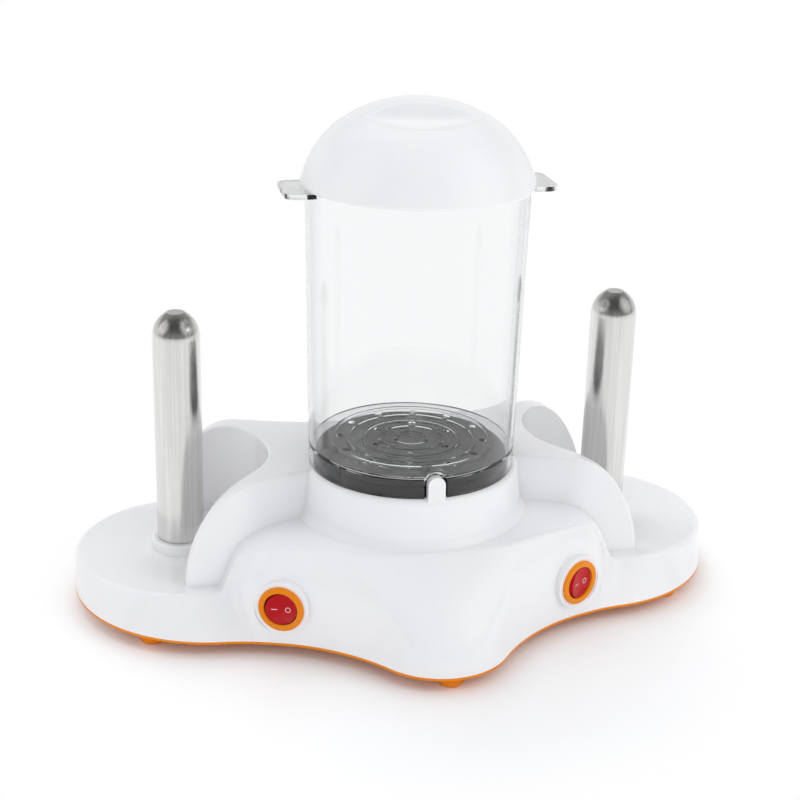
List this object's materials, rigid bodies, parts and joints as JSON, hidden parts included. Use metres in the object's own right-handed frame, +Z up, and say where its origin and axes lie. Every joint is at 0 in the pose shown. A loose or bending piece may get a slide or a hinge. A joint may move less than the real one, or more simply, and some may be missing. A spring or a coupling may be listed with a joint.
{
  "type": "hot dog toaster",
  "caption": "Table-top hot dog maker: clear steam container with a domed lid on a lobed base, heated bun spikes at the sides and rocker switches in front.",
  "frame": {"origin": "on the table, under the axis of the steam container, which is also the middle of the base", "axes": "+Z up, +X to the right seen from the switches' side, -Y towards the front with the switches"},
  "size_m": [0.38, 0.2241, 0.2937],
  "materials": {
    "white_plastic": "glossy moulded",
    "orange_plastic": "satin moulded",
    "clear_plastic": "clear moulded",
    "black_enamel": "glossy coating",
    "polished_steel": "bright drawn tube",
    "steel": "zinc plated",
    "heater_metal": "bare",
    "heater_ceramic": "unglazed",
    "silicone": "matt",
    "red_plastic": "glossy moulded",
    "black_plastic": "fine texture"
  },
  "bodies": {
    "base": {"upper_housing": "white_plastic", "spike_collar_left": "white_plastic", "spike_collar_right": "white_plastic", "base_plate": "orange_plastic", "foot_front": "orange_plastic", "foot_left": "orange_plastic", "foot_right": "orange_plastic", "foot_rear_left": "orange_plastic", "foot_rear_right": "orange_plastic", "switch_ring_left": "orange_plastic", "switch_ring_right": "orange_plastic", "housing_screws": "steel", "spike_tube_left": "polished_steel", "spike_tube_right": "polished_steel", "spike_core_left": "heater_ceramic", "spike_core_right": "heater_ceramic", "spike_nut_left": "black_plastic", "spike_nut_right": "black_plastic", "steam_pan": "black_enamel", "pan_gasket": "silicone", "pan_clamp": "steel", "pan_nuts": "steel", "pan_heater": "heater_metal", "thermostat": "heater_metal", "thermal_fuse": "heater_metal", "switch_body_left": "black_plastic", "switch_body_right": "black_plastic", "terminal_block": "black_plastic", "cord_gland": "black_plastic"},
    "container": {"steam_container": "clear_plastic"},
    "lid": {"lid": "white_plastic"},
    "rocker_left": {"switch_rocker_left": "red_plastic"},
    "rocker_right": {"switch_rocker_right": "red_plastic"}
  },
  "joints": [
    {"name": "container_lift", "type": "slide", "parent": "base", "child": "container", "axis": [0, 0, 1], "range_m": [0, 0.1]},
    {"name": "lid_lift", "type": "slide", "parent": "container", "child": "lid", "axis": [0, 0, 1], "range_m": [0, 0.06]},
    {"name": "rocker_left_tilt", "type": "hinge", "parent": "base", "child": "rocker_left", "pos_m": [-0.08394, -0.05836, 0.0304], "axis": [0, 0, -1], "range_deg": [0, 18]},
    {"name": "rocker_right_tilt", "type": "hinge", "parent": "base", "child": "rocker_right", "pos_m": [0.08394, -0.05836, 0.0304], "axis": [0, 0, -1], "range_deg": [0, 18]}
  ]
}
